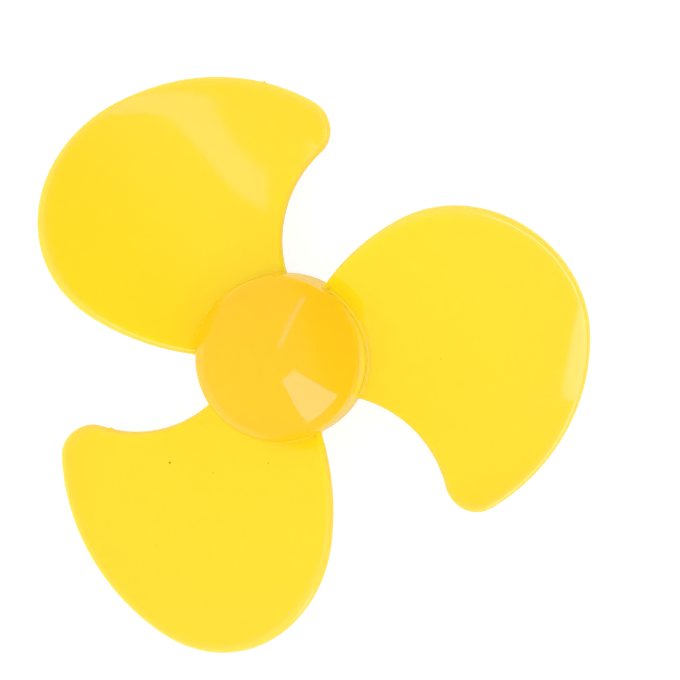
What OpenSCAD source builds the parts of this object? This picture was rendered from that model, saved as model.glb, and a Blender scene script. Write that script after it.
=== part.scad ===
// Three-blade propeller fan, moulded in one piece, that presses onto the shaft of a small motor.
// The origin is on the spin axis, at the free end of the boss. +Z points out through the nose.
// The first blade lies along +X. Seen from the nose, its hooked tip is at the clockwise side.

/* [Hub] */
// Outside diameter of the hub at its open rear rim
hub_d = 15.1; // [13:0.1:18]
// Length of the hub wall, from the open rim to the edge of the nose
hub_len = 6; // [5:0.25:9]
// Wall thickness of the hub and the nose
hub_wall = 1.2; // [0.9:0.1:1.8]
// Draft of the hub wall, in degrees
hub_draft = 0.7; // [0:0.1:2]
// Height of the domed nose above the hub wall
nose_h = 3.2; // [2:0.1:5]
// Radius that softens the edge between the hub wall and the nose
nose_edge_r = 0.6; // [0.2:0.1:1]
// Radius that softens the two edges of the open rim
rim_edge_r = 0.25; // [0.1:0.05:0.4]

/* [Boss] */
// Outside diameter of the central boss
boss_d = 5.8; // [4.4:0.1:7]
// Length of boss that stands out behind the rear rim of the hub
boss_out = 3.5; // [1:0.25:6]
// Radius that softens the outer edge of the boss
boss_edge_r = 0.4; // [0.1:0.05:0.8]
// Radius of the fillet where the boss meets the inside of the nose
boss_root_r = 0.8; // [0.3:0.1:1.2]
// Diameter of the bore, which is the size of the motor shaft
bore_d = 2; // [1:0.05:3]
// Depth of the bore from the end of the boss
bore_depth = 9; // [5:0.5:10]
// Depth of the chamfer that leads the shaft into the bore
bore_lead = 0.3; // [0.1:0.05:0.5]

/* [Blade outline] */
// Number of blades
blades = 3; // [2:1:3]
// Diameter of the circle that the blade tips sweep
overall_d = 56; // [53:0.5:64]
// Radius of the rounded outer end of a blade
tip_r = 11.4; // [10:0.1:12]
// Direction of the outermost point, in degrees from the blade's centre line
tip_dir = -6.7; // [-12:0.1:0]
// Distance from the spin axis to the far side of the hooked tip
hook_reach = 23.4; // [22:0.2:25]
// Radius of the hooked tip
hook_r = 2.8; // [2:0.1:4]
// Direction of the hooked tip, in degrees from the blade's centre line
hook_dir = -48; // [-52:1:-44]
// Radius of the long convex edge from the hub to the outer end
front_r = 21.5; // [18:0.5:30]
// Radius of the edge between the outer end and the hooked tip
back_r = 18.8; // [16:0.2:30]
// Radius of the hollow edge from the hooked tip back to the hub
notch_r = 11; // [9:0.2:14]
// Where the convex edge leaves the hub, in degrees from the blade's centre line
root_front = 44; // [38:1:50]
// Where the hollow edge reaches the hub, in degrees from the blade's centre line
root_back = -46; // [-54:1:-42]

/* [Blade surface] */
// Distance from the spin axis at which the height, pitch and slope of a blade are given
middle_r = 16; // [13:0.5:20]
// Thickness of a blade
blade_t = 0.9; // [0.6:0.05:1.4]
// Thickness of a blade where it leaves the hub
root_t = 1.5; // [1.4:0.1:2]
// Distance over which a blade thins from its root
root_fade = 2.5; // [1:0.25:5]
// Height of the blade there above the rear rim of the hub
blade_lift = 3; // [2.8:0.1:4.5]
// Pitch of the blade there, in degrees
pitch = 21.5; // [14:0.5:26]
// Change of pitch for each millimetre outwards, in degrees
twist = 0.45; // [0:0.05:0.8]
// Slope of a blade towards the nose as it goes outwards, in degrees
rake = 5.2; // [0:0.2:10]
// Radius of the hollow of a blade across its width
camber_r = 34; // [30:1:120]
// Radius of the droop of a blade along its length
droop_r = 240; // [80:10:600]

/* [Hidden] */
$fn = 96;

// Heights on the spin axis
rim_z = boss_out;
nose_z = rim_z + hub_len;
top_z = nose_z + nose_h;

// Hub radii. The nose is a cap of a ball whose rim has the width of the hub wall's upper end.
hub_r = hub_d / 2;
nose_rim_r = hub_r - hub_len * tan(hub_draft);
nose_r = (nose_rim_r ^ 2 + nose_h ^ 2) / (2 * nose_h);
nose_c = top_z - nose_r;

// A blade ends in the middle of the hub wall, so that it never shows inside the cup.
root_r = hub_r - hub_wall / 2;
edge_r = blade_t / 2;

// Number of steps along each arc of the outline, from the hollow edge to the root
arc_steps = [14, 10, 18, 24, 10, 10];
// Number of steps round the edge of a blade, and from its middle out to its edge
edge_steps = 4;
face_steps = 5;
// Half the distance over which the slope of a blade is measured
slope_gap = 0.01;
// Number of steps along a rounded corner of the hub, and along its nose
corner_steps = 5;
nose_steps = 14;
// How far a cut runs past the surface it opens
over = 1;

function polar(r, a) = r * [cos(a), sin(a)];
function bearing(v) = atan2(v.y, v.x);
function left_turn(from, to) = (to - from + 720) % 360;

// Centre of the arc that lies r1 from c1 and r2 from c2, on the right when going from c1 to c2
// with side -1, and on the left with side 1
function meet(c1, r1, c2, r2, side) =
    let (gap = norm(c2 - c1),
         u = (c2 - c1) / gap,
         along = (gap ^ 2 + r1 ^ 2 - r2 ^ 2) / (2 * gap))
    c1 + along * u + side * sqrt(r1 ^ 2 - along ^ 2) * [-u.y, u.x];

// Points of an arc, without its last one
function arc(c, r, start, sweep, steps) =
    [for (i = [0 : steps - 1]) c + polar(r, start + sweep * i / steps)];

// The outline is a chain of arcs, each tangent to the next: it starts at the hub and goes along the
// hollow edge, round the hooked tip, along the back edge, round the outer end and along the convex
// edge to the hub again.
root_a = polar(root_r, root_front);
root_b = polar(root_r, root_back);
tip_c = polar(overall_d / 2 - tip_r, tip_dir);
hook_c = polar(hook_reach - hook_r, hook_dir);
front_c = meet(root_a, front_r, tip_c, front_r - tip_r, -1);
back_c = meet(tip_c, back_r - tip_r, hook_c, back_r - hook_r, -1);
notch_c = meet(hook_c, notch_r + hook_r, root_b, notch_r, 1);

// Directions in which neighbouring arcs touch
notch_start = bearing(root_b - notch_c);
notch_end = bearing(hook_c - notch_c);
hook_end = bearing(hook_c - back_c);
back_end = bearing(tip_c - back_c);
tip_end = bearing(tip_c - front_c);
front_end = bearing(root_a - front_c);

// Outline of a blade, drawn in by a distance that leaves the arcs' centres where they are
function outline(in) = concat(
    arc(notch_c, notch_r + in, notch_start, -left_turn(notch_end, notch_start), arc_steps[0]),
    arc(hook_c, hook_r - in, notch_end + 180, left_turn(notch_end + 180, hook_end), arc_steps[1]),
    arc(back_c, back_r - in, hook_end, left_turn(hook_end, back_end), arc_steps[2]),
    arc(tip_c, tip_r - in, back_end, left_turn(back_end, tip_end), arc_steps[3]),
    arc(front_c, front_r - in, tip_end, left_turn(tip_end, front_end), arc_steps[4]),
    arc([0, 0], root_r, root_front, root_back - root_front, arc_steps[5]));

// Height of the middle surface of a blade over the point p of its outline's plane
function blade_z(p) =
    let (x = p.x - middle_r)
    rim_z + blade_lift + p.y * tan(pitch + twist * x) + x * tan(rake)
        + p.y ^ 2 / (2 * camber_r) - x ^ 2 / (2 * droop_r);

function slope(p) = [
    blade_z(p + [slope_gap, 0]) - blade_z(p - [slope_gap, 0]),
    blade_z(p + [0, slope_gap]) - blade_z(p - [0, slope_gap])] / (2 * slope_gap);

function half_t(p) =
    let (near = max(0, 1 - (norm(p) - root_r) / root_fade))
    (blade_t + (root_t - blade_t) * near ^ 2) / 2;

// Point of a blade's skin: side is -1 on the rear face, 0 at the middle of the edge, 1 on the front
function skin(p, side) =
    let (s = slope(p), up = [-s.x, -s.y, 1])
    [p.x, p.y, blade_z(p)] + side * half_t(p) * up / norm(up);

// Rings of points from the middle of the rear face, round the edge, to the middle of the front face
heart = tip_c + (hook_c - tip_c) / 3;
face_ring = outline(edge_r);

function face_rings(side, steps) =
    [for (k = steps) [for (p = face_ring) skin(heart + (p - heart) * k / face_steps, side)]];

function edge_rings() =
    [for (i = [0 : edge_steps])
        let (a = 180 * i / edge_steps - 90)
        [for (p = outline(edge_r * (1 - cos(a)))) skin(p, sin(a))]];

module blade() {
    rings = concat(
        face_rings(-1, [1 : face_steps - 1]),
        edge_rings(),
        face_rings(1, [face_steps - 1 : -1 : 1]));
    n = len(face_ring);
    last = len(rings) * n;
    points = concat([for (ring = rings, p = ring) p], [skin(heart, -1), skin(heart, 1)]);
    bands = [for (j = [0 : len(rings) - 2], i = [0 : n - 1])
        let (a = j * n + i, b = j * n + (i + 1) % n)
        each [[a, a + n, b], [b, a + n, b + n]]];
    rear_fan = [for (i = [0 : n - 1]) [last, i, (i + 1) % n]];
    front_fan = [for (i = [0 : n - 1]) [last + 1, last - n + (i + 1) % n, last - n + i]];
    polyhedron(points, concat(bands, rear_fan, front_fan));
}

// Section of a wall whose skins are a straight drafted side and a ball-shaped nose. The inner skin
// is the outer one, drawn in by the wall, and edge is the radius between the side and the nose.
function bell(in, edge) =
    let (side_r = nose_rim_r - in,
         ball_r = nose_r - in,
         corner_x = side_r - edge,
         corner_z = nose_c + sqrt((ball_r - edge) ^ 2 - corner_x ^ 2),
         lean = atan2(corner_z - nose_c, corner_x))
    concat(
        [for (i = [0 : corner_steps]) [corner_x, corner_z] + polar(edge, lean * i / corner_steps)],
        [for (i = [1 : nose_steps]) [0, nose_c] + polar(ball_r, lean + (90 - lean) * i / nose_steps)]);

module hub_shell() {
    inner_edge = max(nose_edge_r - hub_wall, 0) + rim_edge_r;
    rim = [
        for (i = [0 : corner_steps])
            [hub_r - hub_wall + rim_edge_r, rim_z + rim_edge_r]
                + polar(rim_edge_r, 180 + 90 * i / corner_steps),
        for (i = [0 : corner_steps])
            [hub_r - rim_edge_r, rim_z + rim_edge_r] + polar(rim_edge_r, 270 + 90 * i / corner_steps)];
    inside = bell(hub_wall, inner_edge);
    rotate_extrude()
        polygon(concat(rim, bell(0, nose_edge_r), [for (i = [len(inside) - 1 : -1 : 0]) inside[i]]));
}

module boss() {
    boss_r = boss_d / 2;
    seat_z = nose_c + sqrt((nose_r - hub_wall) ^ 2 - (boss_r + boss_root_r) ^ 2);
    foot = [for (i = [0 : corner_steps])
        [boss_r - boss_edge_r, boss_edge_r] + polar(boss_edge_r, 270 + 90 * i / corner_steps)];
    flare = [for (i = [0 : corner_steps])
        [boss_r + boss_root_r, seat_z - boss_root_r]
            + polar(boss_root_r, 180 - 90 * i / corner_steps)];
    buried_z = seat_z + hub_wall / 2;
    rotate_extrude()
        polygon(concat([[0, 0]], foot, flare, [[boss_r + boss_root_r, buried_z], [0, buried_z]]));
}

module bore() {
    bore_r = bore_d / 2;
    cylinder(h = bore_depth, r = bore_r);
    translate([0, 0, -over])
        cylinder(h = over + bore_lead, r1 = bore_r + bore_lead + over, r2 = bore_r);
}

module fan_blade() {
    color([1, 0.86, 0.16])
    difference() {
        union() {
            hub_shell();
            boss();
            for (i = [0 : blades - 1]) rotate([0, 0, i * 360 / blades]) blade();
        }
        bore();
    }
}

fan_blade();
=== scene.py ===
import math

import bmesh
import bpy
import numpy as np
from mathutils import Matrix, Vector


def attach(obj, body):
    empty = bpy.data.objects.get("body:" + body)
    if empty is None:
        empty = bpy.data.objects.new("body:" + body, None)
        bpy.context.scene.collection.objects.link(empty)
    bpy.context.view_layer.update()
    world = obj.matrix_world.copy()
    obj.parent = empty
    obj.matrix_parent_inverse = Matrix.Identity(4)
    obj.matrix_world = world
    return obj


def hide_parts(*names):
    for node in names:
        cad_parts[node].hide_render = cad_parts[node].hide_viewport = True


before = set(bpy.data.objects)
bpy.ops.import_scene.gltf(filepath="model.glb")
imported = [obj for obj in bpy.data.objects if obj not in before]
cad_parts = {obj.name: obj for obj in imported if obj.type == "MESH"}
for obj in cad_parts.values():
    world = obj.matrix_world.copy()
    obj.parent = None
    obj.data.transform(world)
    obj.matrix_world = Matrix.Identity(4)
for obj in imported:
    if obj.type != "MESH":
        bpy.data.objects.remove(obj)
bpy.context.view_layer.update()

# Camera: a long lens nearly square on to the nose, a little to the right of the axis, with the
# first blade turned to the right of the picture.
cam_x = Vector((0.95164, -0.25499, -0.17137))
cam_y = Vector((0.25061, 0.96694, -0.04711))
cam_z = cam_x.cross(cam_y).normalized()
cam_x = cam_y.cross(cam_z).normalized()
cam_y = cam_z.cross(cam_x)
cam_data = bpy.data.cameras.new("camera")
cam_data.sensor_fit = "AUTO"
cam_data.sensor_width = 36
cam_data.angle = math.radians(9.674)
cam_data.clip_start = 0.01
cam_data.clip_end = 10
camera = bpy.data.objects.new("camera", cam_data)
bpy.context.scene.collection.objects.link(camera)
camera.matrix_world = Matrix.Translation((0.069797, 0.000861, 0.362562)) @ Matrix(
    (cam_x, cam_y, cam_z)).transposed().to_4x4()
bpy.context.scene.camera = camera
bpy.context.scene.view_settings.view_transform = "Standard"

# Hub: a thin cup with a domed nose and a bored boss on its axis, all one turned profile. Its
# moulded corners are rounded and its wall has a slight draft. The blades are joined to it below.
MM = 0.001
hub_r, rim_z, nose_z, top_z = 7.55, 3.5, 9.5, 12.7
wall, draft, nose_edge, rim_edge, inner_edge = 1.2, 0.7, 0.7, 0.25, 0.35
boss_r, boss_edge, boss_root = 2.9, 0.4, 0.8
bore_r, bore_depth, bore_lead, lead_edge, mouth_edge = 1.0, 9.0, 0.3, 0.03, 0.02

nose_rim_r = hub_r - (nose_z - rim_z) * math.tan(math.radians(draft))
ball_r = (nose_rim_r ** 2 + (top_z - nose_z) ** 2) / (2 * (top_z - nose_z))
ball_z = top_z - ball_r


def turn(centre, r, start, end, steps):
    """Points of an arc in the profile's plane, from one direction to another in degrees."""
    angles = np.radians(np.linspace(start, end, steps + 1))
    return [(centre[0] + r * math.cos(a), centre[1] + r * math.sin(a)) for a in angles]


def bell(inset, edge):
    """Upper corner and nose of a skin that lies inset inside the hub's outside."""
    x = nose_rim_r - inset - edge
    z = ball_z + math.sqrt((ball_r - inset - edge) ** 2 - x ** 2)
    lean = math.degrees(math.atan2(z - ball_z, x))
    corner = turn((x, z), edge, 0, lean, 10)
    return corner, lean


outer_corner, outer_lean = bell(0, nose_edge)
inner_corner, inner_lean = bell(wall, inner_edge)
seat_z = ball_z + math.sqrt((ball_r - wall) ** 2 - (boss_r + boss_root) ** 2)
past_flare = 2.5
flare_top = math.degrees(math.atan2(seat_z - ball_z, boss_r + boss_root)) - past_flare
mouth_r = bore_r + bore_lead
profile = [(bore_r, bore_depth), (bore_r, bore_lead + lead_edge),
           (bore_r + lead_edge, bore_lead - lead_edge),
           (mouth_r - mouth_edge, mouth_edge), (mouth_r + lead_edge, 0)]
profile += turn((boss_r - boss_edge, boss_edge), boss_edge, 270, 360, 8)
profile += turn((boss_r + boss_root, seat_z - boss_root - 0.05), boss_root, 180, 90, 8)
profile += turn((0, ball_z), ball_r - wall, flare_top, inner_lean, 14)
profile += inner_corner[-2::-1]
profile += turn((hub_r - wall + rim_edge, rim_z + rim_edge), rim_edge, 180, 270, 6)
profile += turn((hub_r - rim_edge, rim_z + rim_edge), rim_edge, 270, 360, 6)
side_low, side_top, side_steps = (hub_r, rim_z + rim_edge), outer_corner[0], 12
profile += [tuple(low + (top - low) * k / side_steps for low, top in zip(side_low, side_top))
            for k in range(1, side_steps)]
profile += outer_corner
profile += turn((0, ball_z), ball_r, outer_lean, 90, 32)[1:-1]

spokes = 192
hub_points = [(r * math.cos(t) * MM, r * math.sin(t) * MM, z * MM)
              for r, z in profile for t in np.linspace(0, 2 * math.pi, spokes, endpoint=False)]
hub_faces = [(j * spokes + i, j * spokes + (i + 1) % spokes, (j + 1) * spokes + (i + 1) % spokes,
              (j + 1) * spokes + i) for j in range(len(profile) - 1) for i in range(spokes)]
bore_end, apex = len(hub_points), len(hub_points) + 1
hub_points += [(0, 0, bore_depth * MM), (0, 0, top_z * MM)]
last = (len(profile) - 1) * spokes
for i in range(spokes):
    hub_faces += [(bore_end, (i + 1) % spokes, i), (apex, last + i, last + (i + 1) % spokes)]
hub_mesh = bpy.data.meshes.new("hub_cup")
hub_mesh.from_pydata(hub_points, [], hub_faces)
hub_mesh.update()
hub = bpy.data.objects.new("hub_cup", hub_mesh)
bpy.context.scene.collection.objects.link(hub)

# Blades: three thin hooked plates with round edges, pitched, twisted and hollowed across their
# width. All three come from one flat blank, which also carries the small bends of the moulding:
# a bow along the blade, a skew and a sag across it, and a curl at the back edge.
blade_t, root_r, root_run, root_spread, curl_run = 0.9, 6.95, 7.5, 0.22, 3.2


def polar(r, degrees):
    return np.array([r * math.cos(math.radians(degrees)), r * math.sin(math.radians(degrees))])


def meet(c1, r1, c2, r2, side):
    """Point that lies r1 from c1 and r2 from c2."""
    gap = np.linalg.norm(c2 - c1)
    u = (c2 - c1) / gap
    along = (gap * gap + r1 * r1 - r2 * r2) / (2 * gap)
    return c1 + along * u + side * math.sqrt(r1 * r1 - along * along) * np.array([-u[1], u[0]])


def bearing(v):
    return math.degrees(math.atan2(v[1], v[0]))


tip_r, hook_r, front_r, back_r, notch_r = 11.322, 2.897, 21.423, 18.722, 10.807
tip_c, hook_c = polar(27.93 - tip_r, -6.57), polar(23.44 - hook_r, -47.77)
root_a, root_b = polar(6.9, 44.2), polar(6.9, -46.6)
front_c = meet(root_a, front_r, tip_c, front_r - tip_r, -1)
back_c = meet(tip_c, back_r - tip_r, hook_c, back_r - hook_r, -1)
notch_c = meet(hook_c, notch_r + hook_r, root_b, notch_r, 1)
stops = [bearing(hook_c - notch_c), bearing(hook_c - back_c), bearing(tip_c - back_c),
         bearing(tip_c - front_c)]


def crossing(centre, r, ring_r, near):
    """Where an arc of the outline crosses a circle round the axis."""
    both = [meet(np.zeros(2), ring_r, centre, r, side) for side in (-1, 1)]
    return min(both, key=lambda point: np.linalg.norm(point - near))


def edge_walk(inset, out):
    """The free edge from the hollow side of the root to its convex side, drawn in by inset."""
    first = bearing(crossing(notch_c, notch_r + inset, root_r + out, root_b) - notch_c)
    final = bearing(crossing(front_c, front_r - inset, root_r + out, root_a) - front_c)
    runs = [(notch_c, notch_r + inset, first, -((first - stops[0]) % 360), 36),
            (hook_c, hook_r - inset, stops[0] + 180, (stops[1] - stops[0] - 180) % 360, 26),
            (back_c, back_r - inset, stops[1], (stops[2] - stops[1]) % 360, 34),
            (tip_c, tip_r - inset, stops[2], (stops[3] - stops[2]) % 360, 50),
            (front_c, front_r - inset, stops[3], (final - stops[3]) % 360, 36)]
    points = [c + polar(r, start + sweep * i / n) for c, r, start, sweep, n in runs for i in range(n)]
    points.append(front_c + polar(front_r - inset, final))
    return np.array(points)


def blank_ring(inset, out):
    """A closed ring: the free edge, spread a little where it meets the hub, and the root."""
    free = edge_walk(inset, out)
    outward = edge_walk(inset - 0.1, out) - free
    outward /= np.linalg.norm(outward, axis=1)[:, None]
    near = np.clip(1 - (np.linalg.norm(free, axis=1) - root_run) / root_spread, 0, 0.96)
    free = free + outward * (root_spread * (1 - np.sqrt(1 - near ** 2)))[:, None]
    a, b = bearing(free[-1]), bearing(free[0])
    root = [polar(root_r + out, a + (b - a) * i / 26) for i in range(1, 26)]
    return np.concatenate([free, root])


edge = blade_t / 2
well_inside = 3.0
heart = tip_c + (hook_c - tip_c) / 3
face = [(blank_ring(1.5, 2.4), 1.5, k) for k in np.linspace(0.06, 1, 22)]
band = [(blank_ring(inset, out), inset, 1) for inset, out in (
    (1.3, 1.9), (1.1, 1.5), (0.95, 1.25), (0.85, 1.08), (0.76, 0.96), (0.69, 0.86), (0.63, 0.78),
    (0.58, 0.73), (0.54, 0.68), (0.51, 0.63), (0.49, 0.58), (0.47, 0.53), (0.46, 0.48))]
skin = [(heart + (ring - heart) * k, inset if k == 1 else well_inside) for ring, inset, k in face + band]
turns = [math.radians(-90 + 15 * i) for i in range(13)]
insets = [edge * (1 - math.cos(a)) for a in turns]
stack = [(ring, -1.0, inset) for ring, inset in skin]
stack += [(blank_ring(inset, 0), math.sin(a), inset) for a, inset in zip(turns, insets)]
stack += [(ring, 1.0, inset) for ring, inset in skin[::-1]]
rings, sides, gaps = zip(*stack)
n = len(rings[0])
flat = np.concatenate(list(rings) + [heart[None], heart[None]])
side = np.repeat(sides, n).tolist() + [-1.0, 1.0]
gap = np.repeat(gaps, n).tolist() + [well_inside, well_inside]
blank_faces = [(j * n + i, j * n + (i + 1) % n, (j + 1) * n + (i + 1) % n, (j + 1) * n + i)
               for j in range(len(rings) - 1) for i in range(n)]
end = len(rings) * n
blank_faces += [(end, (i + 1) % n, i) for i in range(n)]
blank_faces += [(end + 1, end - n + i, end - n + (i + 1) % n) for i in range(n)]
blank = bpy.data.meshes.new("fan_moulding")
blank.from_pydata([(x * MM, y * MM, 0) for x, y in flat], [], blank_faces)
blank.attributes.new("side", "FLOAT", "POINT").data.foreach_set("value", side)
# Painted light: a paler band along the free edges, for the light that comes through and glances off the
# thin rounded edges. It is widest at the tips and fades out near the hub.
radii = np.linalg.norm(flat, axis=1)
edge_light_run = 0.85 * np.clip((radii - 6) / 16, 0.35, 1)
off_hub = np.clip((radii - 8.2) / 2.0, 0, 1)
edge_light = np.clip(1.1 - np.array(gap) / edge_light_run, 0, 1) * off_hub
blank.attributes.new("edge_light_paint", "FLOAT", "POINT").data.foreach_set("value", edge_light.tolist())
middle_r, bend_reach = 16, 12
u, v = (flat[:, 0] - middle_r) / bend_reach, flat[:, 1] / bend_reach
bow, bow_end, sag, sag_end = 0.312, 0.24, 0.333, 0.473
skew, skew_out, skew_across = 0.308, 0.317, 0.234
curl_most, curl_fall, curl_at = 0.055, 0.168, 0.622
off_back = flat - back_c
to_back = np.clip(1 - (back_r - np.linalg.norm(off_back, axis=1)) / curl_run, 0, None)
curl_from, curl_span = -0.6, 0.5
along = (np.arctan2(off_back[:, 1], off_back[:, 0]) - curl_from) / curl_span
curl = (curl_most - curl_fall * (along - curl_at) ** 2) * curl_run / 2 * to_back ** 2
warp = (bow * u ** 2 - bow_end * u ** 4 + u * v * (skew - skew_out * u ** 2 - skew_across * v ** 2)
        - sag * v ** 3 - sag_end * v ** 4 - curl)
blank.attributes.new("warp", "FLOAT", "POINT").data.foreach_set("value", (warp * MM).tolist())
fan = bpy.data.objects.new("fan_moulding", blank)
bpy.context.scene.collection.objects.link(fan)

# Flash: two tiny nubs left on the edges of single blades by the mould's parting line, in the same
# plastic. Each is a small flattened ball fused into the edge together with the blades and the hub.
nubs = [((-17.87, -2.46, 3.64), (0.34, 0.25, 0.26)), ((4.2, 24.54, 3.63), (0.24, 0.15, 0.2))]
flash_build = bmesh.new()
for centre, sizes in nubs:
    ball = bmesh.ops.create_icosphere(flash_build, subdivisions=4, radius=1)
    for vert in ball["verts"]:
        vert.co = Vector(centre) * MM + Vector([c * r * MM for c, r in zip(vert.co, sizes)])
flash_mesh = bpy.data.meshes.new("flash_nubs")
flash_build.to_mesh(flash_mesh)
flash_build.free()
flash = bpy.data.objects.new("flash_nubs", flash_mesh)
bpy.context.scene.collection.objects.link(flash)

# One moulding: a node tree forms the blank, sets it round the axis and fuses the blades with the hub
# and the nubs into one closed skin. The blades run into the hub's drafted wall in a small fillet.
tree = bpy.data.node_groups.new("blades_round_a_hub", "GeometryNodeTree")
face_io = tree.interface
face_io.new_socket("Blank", in_out="INPUT", socket_type="NodeSocketGeometry")
inputs = {
    "Blades": ("NodeSocketInt", 3),
    "Thickness": ("NodeSocketFloat", blade_t * MM),
    "Root thickness": ("NodeSocketFloat", 1.05 * MM),
    "Root fade": ("NodeSocketFloat", 2.5 * MM),
    "Root radius": ("NodeSocketFloat", 6.9 * MM),
    "Rim radius": ("NodeSocketFloat", hub_r * MM),
    "Rim height": ("NodeSocketFloat", rim_z * MM),
    "Draft": ("NodeSocketFloat", math.radians(draft)),
    "Root fillet": ("NodeSocketFloat", root_spread * MM),
    "Middle radius": ("NodeSocketFloat", middle_r * MM),
    "Height": ("NodeSocketFloat", 6.5 * MM),
    "Pitch": ("NodeSocketFloat", math.radians(21.5)),
    "Twist per metre": ("NodeSocketFloat", math.radians(0.45) / MM),
    "Rake": ("NodeSocketFloat", math.radians(5.2)),
    "Camber radius": ("NodeSocketFloat", 34 * MM),
    "Droop radius": ("NodeSocketFloat", 240 * MM),
    "Hub": ("NodeSocketObject", hub),
    "Flash": ("NodeSocketObject", flash),
    "Plastic": ("NodeSocketMaterial", None),
}
for name, (kind, value) in inputs.items():
    face_io.new_socket(name, in_out="INPUT", socket_type=kind)
face_io.new_socket("Fan", in_out="OUTPUT", socket_type="NodeSocketGeometry")
start = tree.nodes.new("NodeGroupInput")


def put(kind, **settings):
    node = tree.nodes.new(kind)
    for key, value in settings.items():
        setattr(node, key, value)
    return node


class Term:
    """A value in the node tree, so that a formula reads as a formula."""

    def __init__(self, socket):
        self.socket = socket

    def calc(self, operation, *others):
        node = put("ShaderNodeMath", operation=operation)
        for port, value in zip(node.inputs, (self, *others)):
            if isinstance(value, Term):
                tree.links.new(value.socket, port)
            else:
                port.default_value = value
        return Term(node.outputs[0])

    def __add__(self, other):
        return self.calc("ADD", other)

    def __sub__(self, other):
        return self.calc("SUBTRACT", other)

    def __mul__(self, other):
        return self.calc("MULTIPLY", other)

    def __truediv__(self, other):
        return self.calc("DIVIDE", other)


def given(name):
    return Term(start.outputs[name])


here = put("ShaderNodeSeparateXYZ")
tree.links.new(put("GeometryNodeInputPosition").outputs[0], here.inputs[0])
x, y = Term(here.outputs[0]), Term(here.outputs[1])
out_x = x - given("Middle radius")
tan_pitch = (given("Pitch") + given("Twist per metre") * out_x).calc("TANGENT")
tan_rake = given("Rake").calc("TANGENT")
z = (given("Height") + y * tan_pitch + out_x * tan_rake + y * y / (given("Camber radius") * 2.0)
     - out_x * out_x / (given("Droop radius") * 2.0))
slope_x = (y * given("Twist per metre") * (tan_pitch * tan_pitch + 1.0) + tan_rake
           - out_x / given("Droop radius"))
slope_y = tan_pitch + y / given("Camber radius")
steep = (slope_x * slope_x + slope_y * slope_y + 1.0).calc("SQRT")
radius = (x * x + y * y).calc("SQRT")
near = ((radius - given("Root radius")) / given("Root fade") * -1.0 + 1.0).calc("MAXIMUM", 0.0)
thick = given("Thickness") + (given("Root thickness") - given("Thickness")) * near * near


def stored(name):
    node_of = put("GeometryNodeInputNamedAttribute", data_type="FLOAT")
    node_of.inputs["Name"].default_value = name
    return Term(node_of.outputs["Attribute"])


steepest = 0.96
half = thick / 2.0 * stored("side") / steep
skin_x, skin_y = x - slope_x * half, y - slope_y * half
skin_r = (skin_x * skin_x + skin_y * skin_y).calc("SQRT")
wall_r = given("Rim radius") - (z - given("Rim height")) * given("Draft").calc("TANGENT")
close = ((skin_r - wall_r) / given("Root fillet") * -1.0 + 1.0).calc("MAXIMUM", 0.0)
close = close.calc("MINIMUM", steepest)
fillet = given("Root fillet") * ((close * close * -1.0 + 1.0).calc("SQRT") * -1.0 + 1.0)
rise = half + fillet * stored("side") / steep
spot = put("ShaderNodeCombineXYZ")
formula = (x - slope_x * rise, y - slope_y * rise, z + stored("warp") + rise)
for port, term in zip(spot.inputs, formula):
    tree.links.new(term.socket, port)
formed = put("GeometryNodeSetPosition")
tree.links.new(start.outputs["Blank"], formed.inputs["Geometry"])
tree.links.new(spot.outputs[0], formed.inputs["Position"])

places = put("GeometryNodePoints")
tree.links.new(start.outputs["Blades"], places.inputs["Count"])
share = Term(put("GeometryNodeInputIndex").outputs[0]) * (2 * math.pi) / given("Blades")
turn_by = put("ShaderNodeCombineXYZ")
tree.links.new(share.socket, turn_by.inputs["Z"])
ring_of = put("GeometryNodeInstanceOnPoints")
tree.links.new(places.outputs[0], ring_of.inputs["Points"])
tree.links.new(formed.outputs[0], ring_of.inputs["Instance"])
tree.links.new(turn_by.outputs[0], ring_of.inputs["Rotation"])
fuse = put("GeometryNodeMeshBoolean", operation="UNION", solver="MANIFOLD")
tree.links.new(ring_of.outputs[0], fuse.inputs["Mesh 2"])
for name in ("Hub", "Flash"):
    other = put("GeometryNodeObjectInfo", transform_space="RELATIVE")
    tree.links.new(start.outputs[name], other.inputs["Object"])
    tree.links.new(other.outputs["Geometry"], fuse.inputs["Mesh 2"])
real = put("GeometryNodeRealizeInstances")
tree.links.new(fuse.outputs["Mesh"], real.inputs[0])
coat = put("GeometryNodeSetMaterial")
tree.links.new(real.outputs[0], coat.inputs["Geometry"])
tree.links.new(start.outputs["Plastic"], coat.inputs["Material"])
stop = put("NodeGroupOutput")
tree.links.new(coat.outputs[0], stop.inputs["Fan"])

# Plastic: one glossy, slightly translucent yellow, with painted light and shade in its colour. The nose
# is deeper and warmer, partly the thick plastic's own colour and partly painted shade; the low part of
# the hub's wall carries painted warm shade; the rest of the wall and the blade roots carry a paler,
# yellower painted light, and so does a band along the thin free edges. A few dark specks are moulded in.
plastic = bpy.data.materials.new("yellow_plastic")
plastic.use_nodes = True
mat = plastic.node_tree
shader = mat.nodes["Principled BSDF"]


def node(kind, tree_in=mat, **settings):
    made = tree_in.nodes.new(kind)
    for key, value in settings.items():
        setattr(made, key, value)
    return made


def srgb(r, g, b):
    """The linear colour of an 8-bit screen colour."""
    return tuple((c / 255 / 12.92 if c / 255 <= 0.04045 else ((c / 255 + 0.055) / 1.055) ** 2.4)
                 for c in (r, g, b)) + (1.0,)


def scaled(value, low_in, high_in, low_out=0.0, high_out=1.0, kind="LINEAR"):
    """A clamped change of range of one value in the material."""
    made = node("ShaderNodeMapRange", interpolation_type=kind)
    mat.links.new(value, made.inputs["Value"])
    limits = {"From Min": low_in, "From Max": high_in, "To Min": low_out, "To Max": high_out}
    for port, number in limits.items():
        made.inputs[port].default_value = number
    return made.outputs["Result"]


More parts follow.
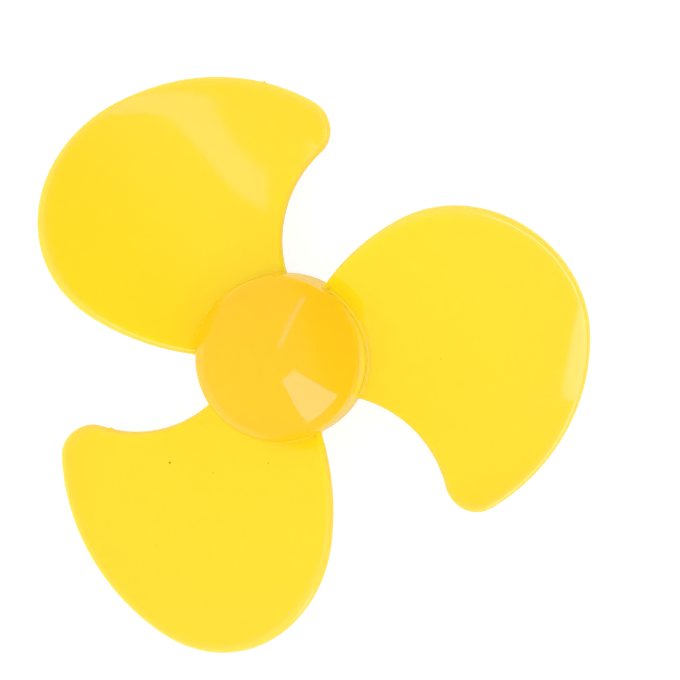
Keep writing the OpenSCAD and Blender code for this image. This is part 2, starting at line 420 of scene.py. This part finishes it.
coords = node("ShaderNodeTexCoord")
split = node("ShaderNodeSeparateXYZ")
mat.links.new(coords.outputs["Object"], split.inputs[0])
flat_xy = node("ShaderNodeCombineXYZ")
mat.links.new(split.outputs["X"], flat_xy.inputs["X"])
mat.links.new(split.outputs["Y"], flat_xy.inputs["Y"])
from_axis = node("ShaderNodeVectorMath", operation="LENGTH")
mat.links.new(flat_xy.outputs[0], from_axis.inputs[0])
# Tone by distance from the axis. The hub's wall and the blade roots beside it are painted paler and
# yellower, as painted light for the light that comes through the plastic into the crease there; outward
# the yellow grows a little deeper toward the tips.
sweep_r = 28
radius_tone_and_root_light = node("ShaderNodeValToRGB")
mat.links.new(scaled(from_axis.outputs["Value"], 0, sweep_r * MM), radius_tone_and_root_light.inputs["Fac"])
while len(radius_tone_and_root_light.color_ramp.elements) > 1:
    radius_tone_and_root_light.color_ramp.elements.remove(radius_tone_and_root_light.color_ramp.elements[-1])
keys = [(0.27, (255, 225, 22)), (0.295, (255, 222, 26)), (0.34, (254, 218, 26)),
        (0.45, (254, 215, 28)), (0.65, (254, 214, 31)), (1.0, (254, 211, 38))]
radius_tone_and_root_light.color_ramp.elements[0].position = keys[0][0]
radius_tone_and_root_light.color_ramp.elements[0].color = srgb(*keys[0][1])
for position, colour in keys[1:]:
    radius_tone_and_root_light.color_ramp.elements.new(position).color = srgb(*colour)
# The nose is mixed toward a darker orange: partly the thick plastic's own deeper colour, and partly
# painted shade for the light that shines through the thin blades but not through the thick nose.
hub_reach = scaled(split.outputs["Z"], 0.0074, 0.0092, 0.0065, 0.0078)
inward = node("ShaderNodeMath", operation="SUBTRACT")
mat.links.new(hub_reach, inward.inputs[0])
mat.links.new(from_axis.outputs["Value"], inward.inputs[1])
# Painted shade: low on the hub's wall and at the blade roots beside it, the colour is mixed up to
# halfway toward the same darker orange, for the warm shade under the blades.
low_wall_shade = node("ShaderNodeMath", operation="MULTIPLY")
mat.links.new(scaled(split.outputs["Z"], 0.0038, 0.0066, 0.5, 0.0), low_wall_shade.inputs[0])
mat.links.new(scaled(from_axis.outputs["Value"], 0.00758, 0.0082, 1.0, 0.0), low_wall_shade.inputs[1])
deep_tone_and_shade = node("ShaderNodeMath", operation="MAXIMUM")
mat.links.new(scaled(inward.outputs[0], -0.0007, 0.0002), deep_tone_and_shade.inputs[0])
mat.links.new(low_wall_shade.outputs[0], deep_tone_and_shade.inputs[1])
deep_tone_and_shade_mix = node("ShaderNodeMix", data_type="RGBA")
mat.links.new(deep_tone_and_shade.outputs[0], deep_tone_and_shade_mix.inputs["Factor"])
mat.links.new(radius_tone_and_root_light.outputs["Color"], deep_tone_and_shade_mix.inputs["A"])
deep_tone_and_shade_mix.inputs["B"].default_value = srgb(254, 196, 14)
# Painted light along the free edges: the colour is mixed toward a paler, whiter yellow by the band
# stored on the blank.
edge_amount = node("ShaderNodeAttribute", attribute_type="GEOMETRY", attribute_name="edge_light_paint")
edge_light_mix = node("ShaderNodeMix", data_type="RGBA")
mat.links.new(edge_amount.outputs["Fac"], edge_light_mix.inputs["Factor"])
mat.links.new(deep_tone_and_shade_mix.outputs["Result"], edge_light_mix.inputs["A"])
edge_light_mix.inputs["B"].default_value = srgb(253, 210, 80)
specks = [((-13.00, -6.69, 4.72), 0.13, 1.0), ((-3.70, -8.92, 6.81), 0.1, 0.6),
          ((-9.16, -8.55, 5.51), 0.1, 0.35), ((-16.20, -6.71, 4.39), 0.1, 0.2),
          ((-16.10, -13.67, 4.98), 0.1, 0.2), ((13.78, -3.74, 5.59), 0.1, 0.35)]
clean = edge_light_mix.outputs["Result"]
for spot_at, size, strength in specks:
    to_spot = node("ShaderNodeVectorMath", operation="DISTANCE")
    mat.links.new(coords.outputs["Object"], to_spot.inputs[0])
    to_spot.inputs[1].default_value = [c * MM for c in spot_at]
    stain = node("ShaderNodeMix", data_type="RGBA")
    fade = scaled(to_spot.outputs["Value"], 0.3 * size * MM, size * MM, strength, 0.0)
    mat.links.new(fade, stain.inputs["Factor"])
    mat.links.new(clean, stain.inputs["A"])
    stain.inputs["B"].default_value = srgb(120, 95, 20)
    clean = stain.outputs["Result"]
mat.links.new(clean, shader.inputs["Base Color"])
shader.inputs["Roughness"].default_value = 0.07
shader.inputs["IOR"].default_value = 1.5
shader.inputs["Subsurface Weight"].default_value = 0.6
shader.inputs["Subsurface Radius"].default_value = (1.0, 0.75, 0.25)
shader.inputs["Subsurface Scale"].default_value = 0.0014

shape = fan.modifiers.new("shape", "NODES")
shape.node_group = tree
for item in face_io.items_tree:
    if item.in_out == "INPUT" and item.name in inputs:
        value = plastic if item.name == "Plastic" else inputs[item.name][1]
        shape[item.identifier] = value
bpy.context.view_layer.update()
graph = bpy.context.evaluated_depsgraph_get()
whole = bpy.data.meshes.new_from_object(
    fan.evaluated_get(graph), preserve_all_data_layers=True, depsgraph=graph)
fan.modifiers.remove(shape)
fan.data = whole
whole.name = "fan_moulding"
bpy.data.objects.remove(hub)
bpy.data.objects.remove(flash)
weld, weld_gap = bmesh.new(), 0.01
weld.from_mesh(whole)
bmesh.ops.remove_doubles(weld, verts=weld.verts, dist=weld_gap * MM)
bmesh.ops.recalc_face_normals(weld, faces=weld.faces)
weld.to_mesh(whole)
weld.free()
whole.polygons.foreach_set("use_smooth", [True] * len(whole.polygons))
whole.set_sharp_from_angle(angle=math.radians(28))
whole.update()

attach(fan, "root")
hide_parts("fan_blade")

# Floor: a matt white sheet that the boss stands on. It lights the fan's underside as white card
# does, and shows to the lens as white with a faint shadow. Close to the hub it glows a warm colour
# that only glossy rays see: a painted reflection in the hub's wall, standing in for light that has
# come through the plastic.
reach, floor_z = 1.5, -0.00002
corners = [(reach * x, reach * y, floor_z) for x, y in ((-1, -1), (1, -1), (1, 1), (-1, 1))]
floor_mesh = bpy.data.meshes.new("floor")
floor_mesh.from_pydata(corners, [], [(0, 1, 2, 3)])
floor = bpy.data.objects.new("floor", floor_mesh)
bpy.context.scene.collection.objects.link(floor)
card = bpy.data.materials.new("white_card")
card.use_nodes = True
sheet = card.node_tree
sheet.nodes.clear()
ray_kind = node("ShaderNodeLightPath", sheet)
looked_at = node("ShaderNodeMath", sheet, operation="MAXIMUM")
sheet.links.new(ray_kind.outputs["Is Camera Ray"], looked_at.inputs[0])
bounced = node("ShaderNodeMath", sheet, operation="MAXIMUM")
sheet.links.new(ray_kind.outputs["Is Glossy Ray"], bounced.inputs[0])
sheet.links.new(ray_kind.outputs["Is Transmission Ray"], bounced.inputs[1])
sheet.links.new(bounced.outputs[0], looked_at.inputs[1])
lit_card = node("ShaderNodeBsdfDiffuse", sheet)
lit_card.inputs["Color"].default_value = (0.8, 0.8, 0.8, 1)
shaded_card = node("ShaderNodeBsdfDiffuse", sheet)
shaded_card.inputs["Color"].default_value = (0.3, 0.3, 0.3, 1)
glow = node("ShaderNodeEmission", sheet)
glow.inputs["Strength"].default_value = 0.82
shown_white = node("ShaderNodeAddShader", sheet)
sheet.links.new(shaded_card.outputs[0], shown_white.inputs[0])
sheet.links.new(glow.outputs[0], shown_white.inputs[1])
card_look = node("ShaderNodeMixShader", sheet)
sheet.links.new(looked_at.outputs[0], card_look.inputs[0])
sheet.links.new(lit_card.outputs[0], card_look.inputs[1])
sheet.links.new(shown_white.outputs[0], card_look.inputs[2])
# Painted reflection: within 9 mm of the axis, fading out by 13 mm, the floor glows warm to glossy rays
# only.
warm_r, warm_end_r = 9, 13
card_spot = node("ShaderNodeNewGeometry", sheet)
off_axis = node("ShaderNodeVectorMath", sheet, operation="LENGTH")
sheet.links.new(card_spot.outputs["Position"], off_axis.inputs[0])
by_hub = node("ShaderNodeMapRange", sheet)
sheet.links.new(off_axis.outputs["Value"], by_hub.inputs["Value"])
for port, value in (("From Min", warm_r * MM), ("From Max", warm_end_r * MM),
                    ("To Min", 1.0), ("To Max", 0.0)):
    by_hub.inputs[port].default_value = value
in_gloss = node("ShaderNodeMath", sheet, operation="MULTIPLY")
sheet.links.new(by_hub.outputs[0], in_gloss.inputs[0])
sheet.links.new(ray_kind.outputs["Is Glossy Ray"], in_gloss.inputs[1])
warm = node("ShaderNodeEmission", sheet)
warm.inputs["Color"].default_value = (0.96, 0.68, 0.34, 1)
warmed = node("ShaderNodeMixShader", sheet)
sheet.links.new(in_gloss.outputs[0], warmed.inputs[0])
sheet.links.new(card_look.outputs[0], warmed.inputs[1])
sheet.links.new(warm.outputs[0], warmed.inputs[2])
surface = node("ShaderNodeOutputMaterial", sheet)
sheet.links.new(warmed.outputs[0], surface.inputs["Surface"])
floor_mesh.materials.append(card)

# Light: an even bright room, brighter on the left and below than on the right, with a tall lamp
# low on the right and a narrow one above, which show only in the gloss of the nose and two blades.
# A soft light from the right fills the hub's wall and doesn't show in the gloss.
world = bpy.data.worlds.new("room")
bpy.context.scene.world = world
world.use_nodes = True
room = world.node_tree
room.nodes.clear()
path = node("ShaderNodeLightPath", room)
way = node("ShaderNodeTexCoord", room)
toward_right = node("ShaderNodeVectorMath", room, operation="DOT_PRODUCT")
room.links.new(way.outputs["Generated"], toward_right.inputs[0])
toward_right.inputs[1].default_value = cam_x * 0.95 + cam_y * 0.3
gloss_level = node("ShaderNodeMapRange", room, interpolation_type="SMOOTHSTEP")
room.links.new(toward_right.outputs["Value"], gloss_level.inputs["Value"])
for port, value in (("From Min", 0.1), ("From Max", 0.6), ("To Min", 0.8), ("To Max", 0.2)):
    gloss_level.inputs[port].default_value = value
reflected = node("ShaderNodeBackground", room)
room.links.new(gloss_level.outputs[0], reflected.inputs["Strength"])
lean = node("ShaderNodeVectorMath", room, operation="DOT_PRODUCT")
room.links.new(way.outputs["Generated"], lean.inputs[0])
lean.inputs[1].default_value = cam_x * -0.17 + cam_y * -0.11
soft = node("ShaderNodeMath", room, operation="ADD")
room.links.new(lean.outputs["Value"], soft.inputs[0])
soft.inputs[1].default_value = 1.445
diffuse = node("ShaderNodeBackground", room)
room.links.new(soft.outputs[0], diffuse.inputs["Strength"])
white = node("ShaderNodeBackground", room)
white.inputs["Strength"].default_value = 1.0
off_camera = node("ShaderNodeMixShader", room)
room.links.new(path.outputs["Is Glossy Ray"], off_camera.inputs[0])
room.links.new(diffuse.outputs[0], off_camera.inputs[1])
room.links.new(reflected.outputs[0], off_camera.inputs[2])
straight = node("ShaderNodeMath", room, operation="MAXIMUM")
room.links.new(path.outputs["Is Camera Ray"], straight.inputs[0])
room.links.new(path.outputs["Is Transmission Ray"], straight.inputs[1])
every_ray = node("ShaderNodeMixShader", room)
room.links.new(straight.outputs[0], every_ray.inputs[0])
room.links.new(off_camera.outputs[0], every_ray.inputs[1])
room.links.new(white.outputs[0], every_ray.inputs[2])
sky = node("ShaderNodeOutputWorld", room)
room.links.new(every_ray.outputs[0], sky.inputs["Surface"])


def lamp(name, centre, along, across, length, width, radiance, tint):
    """A rectangular lamp in the camera's axes, in millimetres from the fan's middle."""
    data = bpy.data.lights.new(name, "AREA")
    data.shape = "RECTANGLE"
    data.size, data.size_y = width * MM, length * MM
    data.color = tint
    data.energy = radiance * math.pi * data.size * data.size_y
    made = bpy.data.objects.new(name, data)
    bpy.context.scene.collection.objects.link(made)
    axes = Matrix((cam_x, cam_y, cam_z)).transposed()
    y_axis = (axes @ Vector(along)).normalized()
    place = axes @ Vector(centre)
    x_axis = (axes @ Vector(across))
    x_axis = (x_axis - x_axis.dot(y_axis) * y_axis).normalized()
    z_axis = x_axis.cross(y_axis)
    if z_axis.dot(place) < 0:
        x_axis, z_axis = -x_axis, -z_axis
    turned = Matrix((x_axis, y_axis, z_axis)).transposed().to_4x4()
    made.matrix_world = Matrix.Translation(place * MM + Vector((0, 0, 0.008))) @ turned
    return made


low = lamp("low_lamp", (58, -229, 366), (-0.30, 0.007, 0.954), (0.77, 0.59, 0.23),
           length=552, width=185, radiance=3.25, tint=(1, 0.42, 1))
high = lamp("high_lamp", (2, 220, 321), (175, 333, -229), (0.9, -0.5, 0.0),
            length=440, width=36, radiance=1.9, tint=(1, 0.22, 1))
low.visible_diffuse = high.visible_diffuse = False
fill = lamp("side_fill", (400, -60, 260), (0, 1, 0), (-0.5, 0, 0.8),
            length=300, width=300, radiance=0.75, tint=(1, 1, 1))
fill.visible_glossy = False
